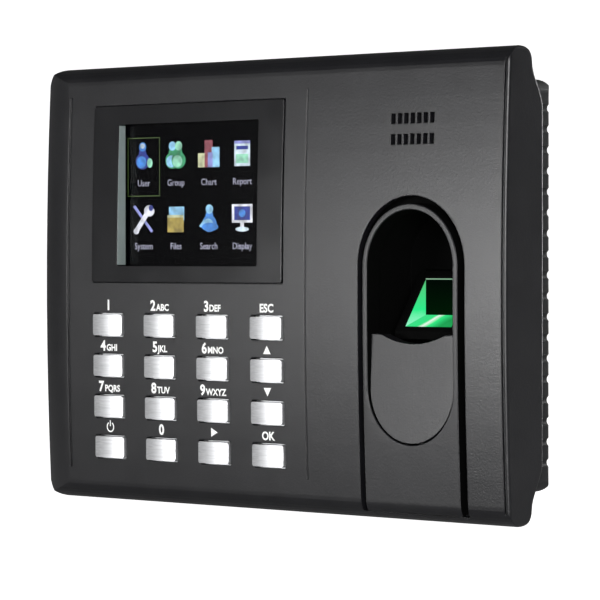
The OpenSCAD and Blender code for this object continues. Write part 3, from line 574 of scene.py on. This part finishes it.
def glowing(name, stops, axis, low, high, strength):
    """Painted light for glass lit from inside: its colour runs along one axis, with a soft bloom."""
    material, tree, shader = surface(name, "#000000", 0.5,
                                     {"Emission Strength": strength, "Specular IOR Level": 0.0})
    where = add(tree, "ShaderNodeTexCoord")
    split = add(tree, "ShaderNodeSeparateXYZ", links={"Vector": (where, "Object")})
    along = add(tree, "ShaderNodeMapRange", {"From Min": low, "From Max": high}, {"Value": (split, axis)})
    bloom = add(tree, "ShaderNodeTexNoise", {"Scale": 1 / (5 * MM), "Detail": 1.0},
                {"Vector": (where, "Object")})
    drift = add(tree, "ShaderNodeMath", {"operation": "MULTIPLY_ADD"}, {"Value": (bloom, "Fac")})
    drift.inputs[1].default_value = BLOOM
    drift.inputs[2].default_value = -BLOOM / 2
    total = add(tree, "ShaderNodeMath", {"operation": "ADD"}, {"Value": (along, "Result")})
    tree.links.new(drift.outputs["Value"], total.inputs[1])
    ramp = add(tree, "ShaderNodeValToRGB", links={"Fac": (total, "Value")})
    elements = ramp.color_ramp.elements
    for i, (position, colour) in enumerate(stops):
        stop = elements[i] if i < 2 else elements.new(position)
        stop.position = position
        stop.color = srgb(colour)
    tree.links.new(ramp.outputs["Color"], shader.inputs["Emission Color"])
    return material


side_light = glowing("Glass side lit green", [(0.0, "#a8ffdc"), (1.0, "#5ec27c"), (0.35, "#2ff590")], "Z",
                     prism_low.z, prism_high.z, 1.0)
foot_light = glowing("Glass foot lit green",
                     [(0.0, "#3fe68c"), (1.0, "#1f9c50"), (0.3, "#35ea86"), (0.42, "#f4fff6"),
                      (0.6, "#38f08a")],
                     "X", prism_low.x + 1.0 * MM, prism_low.x + 13 * MM, 1.0)
# The back face's dim green glow is painted light too.
back_light = glowing("Glass back painted dim green glow", [(0.0, "#032008"), (1.0, "#020a06")], "Z",
                     prism_low.z, prism_high.z, 0.8)
# A painted highlight along the top edge of the glass.
edge_light = glowing("Glass edge painted pale highlight", [(0.0, "#9ac6a4"), (1.0, "#86b894")], "X",
                     prism_low.x, prism_high.x, 0.8)

inside = bmesh.new()
left, right = prism_low.x + SKIN, prism_high.x - SKIN
front, rear = prism_low.y + 2.5 * SKIN, prism_high.y - SKIN
foot, top = prism_low.z + SKIN, prism_high.z - 2.5 * SKIN
lit_faces = [
    ([(left, front, foot), (left, rear, foot), (left, rear, top)], 0),
    ([(left, front, foot), (right, front, foot),
      (right, rear, foot + FOOT_RISE), (left, rear, foot + FOOT_RISE)], 1),
    ([(left, rear, foot), (right, rear, foot), (right, rear, top), (left, rear, top)], 2),
    ([(left, rear, top), (right, rear, top), (right, rear, top + EDGE_H), (left, rear, top + EDGE_H)], 3),
]
for corners, which in lit_faces:
    inside.faces.new([inside.verts.new(c) for c in corners]).material_index = which
finish(inside, "sensor_prism_light", [side_light, foot_light, back_light, edge_light], "case")

lamp, tree, shader = surface("Epoxy lamp lit green", "#1d8a48", 0.2,
                             {"Emission Color": srgb("#40ff90"), "Emission Strength": 3.0})
grain(tree, shader, 0.5 * MM, 0.003 * MM)
dress("sensor_lamps", lamp)

lens_barrel, tree, shader = surface("Anodised aluminium black", "#17181b", 0.35, {"Metallic": 0.8})
grain(tree, shader, 0.25 * MM, 0.004 * MM, squeeze=(1, 0.1, 1))
dress("sensor_lens", lens_barrel)

# --- Speaker -----------------------------------------------------------------------------------
# A thin round speaker on a foam ring behind the slots: black paper cone, stamped basket, ferrite
# magnet and a twisted pair to the main board.

foam, tree, shader = surface("Polyurethane foam black", "#121314", 0.95)
grain(tree, shader, 0.35 * MM, 0.08 * MM, detail=4.0)
dress("speaker_gasket", foam)

cone_paper, tree, shader = surface("Pressed paper black", "#222427", 0.85)
grain(tree, shader, 0.5 * MM, 0.03 * MM, detail=5.0)
dress("speaker_cone", cone_paper)
dress("speaker_basket", tin)

ferrite, tree, shader = surface("Ferrite sintered", "#3d3f42", 0.6, {"Specular IOR Level": 0.6})
_, scaled = grain(tree, shader, 0.4 * MM, 0.012 * MM)
mottle(tree, shader, scaled, 3 * MM, "#35373a", "#45474a", 0.5, 0.7)
dress("speaker_magnet", ferrite)

sleeve, tree, shader = surface("Vinyl wire sleeve red", "#b3282d", 0.4, {"Coat Weight": 0.2})
grain(tree, shader, 1.5 * MM, 0.01 * MM)
dress("speaker_lead", sleeve)

# --- Main board --------------------------------------------------------------------------------
# The board across the back holds the chips, the sockets along the bottom edge, the screw terminals
# in the wiring window, the coin cell, the buzzer and the reset and tamper switches.

epoxy_black, tree, shader = surface("Epoxy moulded black", "#1a1b1d", 0.5)
_, scaled = grain(tree, shader, 0.3 * MM, 0.01 * MM)
mottle(tree, shader, scaled, 4 * MM, "#171819", "#202123", 0.42, 0.6)
for node in ("board_chips", "power_jack", "cell_holder", "buzzer", "reset_switch", "tamper_switch"):
    dress(node, epoxy_black)
for node in ("network_socket", "usb_socket", "coin_cell"):
    dress(node, tin)

nylon_green, tree, shader = surface("Polyamide moulded green", "#2c7a47", 0.45, {"Subsurface Weight": 0.05})
_, scaled = grain(tree, shader, 0.6 * MM, 0.01 * MM)
mottle(tree, shader, scaled, 6 * MM, "#286f41", "#31864f", 0.4, 0.52)

acetal_blue, tree, shader = surface("Acetal moulded blue", "#3274c8", 0.35)
grain(tree, shader, 0.5 * MM, 0.005 * MM)

acetal_white, tree, shader = surface("Acetal moulded white", "#dcdcd8", 0.4, {"Subsurface Weight": 0.08})
grain(tree, shader, 0.5 * MM, 0.005 * MM)


def brick(mesh, middle, size, material=0):
    """Adds a small block with chamfered edges to a mesh."""
    made = bmesh.ops.create_cube(mesh, size=1.0)["verts"]
    for v in made:
        v.co = Vector((v.co.x * size[0], v.co.y * size[1], v.co.z * size[2])) + Vector(middle)
    edges = list({e for v in made for e in v.link_edges})
    faces = list({f for v in made for f in v.link_faces})
    for face in faces:
        face.material_index = material
    bmesh.ops.bevel(mesh, geom=edges, offset=min(size) * 0.12, segments=1, affect="EDGES",
                    clamp_overlap=True)


# Fired ceramic for the resistors and capacitors, and gilded bronze for the network socket's springs.
ceramic, tree, shader = surface("Ceramic fired tan", "#9a7f5c", 0.45)
grain(tree, shader, 0.2 * MM, 0.004 * MM)
gold, tree, shader = surface("Phosphor bronze gilded", "#d9a441", 0.25, {"Metallic": 1.0})
grain(tree, shader, 0.3 * MM, 0.002 * MM)

header_low, header_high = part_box("wiring_header")
WAYS, WAY_PITCH = 7, 4.8 * MM
CLAMP_RISE, CLAMP_D = 2.2 * MM, 0.5 * MM      # from the block's foot to a clamp screw, and its thickness
facing_back = Matrix.Rotation(-math.pi / 2, 4, "X")

BOARD_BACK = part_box("main_board")[1].y
PART_ROWS, PARTS_IN_ROW = 4, 9
PARTS_X, PARTS_Z = -17, -5                    # the first small part, in millimetres
PART_PITCH, ROW_PITCH = 4.2, 3.6
PART_W, PART_H, END_W = 1.1 * MM, 0.8 * MM, 0.3 * MM
PART_HEIGHTS = (0.6, 0.45, 0.8)

socket_low, socket_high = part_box("network_socket")
CONTACTS, CONTACT_PITCH = 8, 1.02 * MM


def board_pieces():
    """Makes the pieces at the back of the main board, on their bodies."""
    wear(eased("wiring_header", "wiring_header_block", 0.2 * MM), nylon_green)
    wear(eased("reset_button", "reset_button_pin", 0.15 * MM), acetal_blue)
    wear(eased("tamper_plunger", "tamper_plunger_pin", 0.35 * MM, segments=3), acetal_white)

    # The terminals' clamp screws, set into the green block and seen through the wiring window.
    clamps = bmesh.new()
    for i in range(WAYS):
        x = (header_low.x + header_high.x) / 2 + (i - (WAYS - 1) / 2) * WAY_PITCH
        place = Matrix.Translation((x, header_high.y + CLAMP_D / 2, header_low.z + CLAMP_RISE))
        bmesh.ops.create_cone(clamps, cap_ends=True, segments=24, radius1=1.25 * MM, radius2=1.1 * MM,
                              depth=CLAMP_D, matrix=place @ facing_back)
    finish(clamps, "wiring_header_clamps", [zinc_screw], "case")

    # Resistors and capacitors in rows on the back of the board, each with tinned ends.
    parts = bmesh.new()
    for row in range(PART_ROWS):
        for column in range(PARTS_IN_ROW):
            if (row * 5 + column * 3) % 7 == 0:   # leaves gaps here and there
                continue
            x = (PARTS_X + column * PART_PITCH) * MM
            z = (PARTS_Z + row * ROW_PITCH) * MM
            tall = PART_HEIGHTS[(row + column) % 3] * MM
            brick(parts, (x, BOARD_BACK + tall / 2, z), (PART_W, tall, PART_H), (row + column) % 2)
            for end in (-1, 1):
                brick(parts, (x + end * 0.7 * MM, BOARD_BACK + tall / 2, z), (END_W, tall, PART_H), 2)
    finish(parts, "board_small_parts", [ceramic, epoxy_black, tin], "case")

    # Eight gilded springs inside the network socket.
    springs = bmesh.new()
    for i in range(CONTACTS):
        x = (socket_low.x + socket_high.x) / 2 + (i - (CONTACTS - 1) / 2) * CONTACT_PITCH
        brick(springs, (x, socket_low.y + 2.4 * MM, socket_low.z + 6.5 * MM), (0.4 * MM, 0.35 * MM, 10 * MM))
    finish(springs, "network_socket_springs", [gold], "case")


# The second call lays the same six pieces over the first ones. That is a fault, and deleting the
# second call clears it.
board_pieces()
board_pieces()

# --- Studio ------------------------------------------------------------------------------------
# A pale seamless floor that curves up behind, a large soft light at the front left, a narrow one at
# the right and a soft one behind.

FLOOR_GLOW = 0.97                        # lifts the pale floor to white where the camera looks at it
paper, tree, shader = surface("Paper matt white", "#f4f4f4", 0.9)
grain(tree, shader, 2 * MM, 0.01 * MM)
shader.inputs["Emission Color"].default_value = (1, 1, 1, 1)
path = add(tree, "ShaderNodeLightPath")
share = add(tree, "ShaderNodeMath", {"operation": "MULTIPLY"}, {"Value": (path, "Is Camera Ray")})
share.inputs[1].default_value = FLOOR_GLOW
tree.links.new(share.outputs["Value"], shader.inputs["Emission Strength"])
profile = [(0, 0), (1.4, 0), (1.9, 0.03), (2.3, 0.15), (2.6, 0.4), (2.75, 0.8), (2.8, 1.3)]
studio = bmesh.new()
TURNS = 64
FLOOR_Z = front_low.z - 0.2 * MM
turns = [2 * math.pi * i / TURNS for i in range(TURNS)]
rings = [[studio.verts.new((r * math.cos(a), r * math.sin(a), FLOOR_Z + h)) for a in turns] if r
         else [studio.verts.new((0, 0, FLOOR_Z))] for r, h in profile]
for i in range(TURNS):
    studio.faces.new((rings[0][0], rings[1][i], rings[1][(i + 1) % TURNS]))
    for a, b in zip(rings[1:], rings[2:]):
        studio.faces.new((a[i], b[i], b[(i + 1) % TURNS], a[(i + 1) % TURNS]))
data = bpy.data.meshes.new("studio_floor")
studio.to_mesh(data)
studio.free()
data.shade_smooth()
floor = bpy.data.objects.new("studio_floor", data)
bpy.context.scene.collection.objects.link(floor)
floor.data.materials.append(paper)

world = bpy.data.worlds.new("studio_air")
bpy.context.scene.world = world
world.use_nodes = True
air = world.node_tree
path = add(air, "ShaderNodeLightPath")
amount = add(air, "ShaderNodeMapRange", {"To Min": 0.08, "To Max": 1.0}, {"Value": (path, "Is Camera Ray")})
air.links.new(amount.outputs["Result"], air.nodes["Background"].inputs["Strength"])
air.nodes["Background"].inputs["Color"].default_value = (1, 1, 1, 1)


def soft_light(name, azimuth, rise, distance, size, power):
    """An area light, turned towards the object; azimuth 0 is straight ahead of the face, 90 at its right."""
    a, e = math.radians(azimuth), math.radians(rise)
    place = Vector((math.sin(a) * math.cos(e), -math.cos(a) * math.cos(e), math.sin(e))) * distance
    lamp = bpy.data.lights.new(name, "AREA")
    lamp.shape = "RECTANGLE"
    lamp.size, lamp.size_y = size
    lamp.energy = power
    holder = bpy.data.objects.new(name, lamp)
    holder.location = place
    holder.rotation_euler = place.to_track_quat("Z", "Y").to_euler()
    bpy.context.scene.collection.objects.link(holder)


soft_light("light_key", -27.5, 0.3, 1.2, (0.34, 0.1), 4.1)
soft_light("light_side", 46, 3, 1.2, (0.5, 0.6), 14)
soft_light("light_back", 176, 10, 1.4, (0.3, 0.8), 13)

bpy.context.scene.view_settings.view_transform = "Standard"

YAW, RISE, REACH = math.radians(43), math.radians(0.74), 1.0
AIM = Vector((17.66 * MM, FACE_Y, -4.53 * MM))
back = Vector((math.sin(YAW) * math.cos(RISE), -math.cos(YAW) * math.cos(RISE), math.sin(RISE)))
lens = bpy.data.cameras.new("camera")
lens.lens = 199.6
lens.sensor_width = 36
camera = bpy.data.objects.new("camera", lens)
camera.location = AIM + back * REACH
camera.rotation_euler = back.to_track_quat("Z", "Y").to_euler()
bpy.context.scene.collection.objects.link(camera)
bpy.context.scene.camera = camera
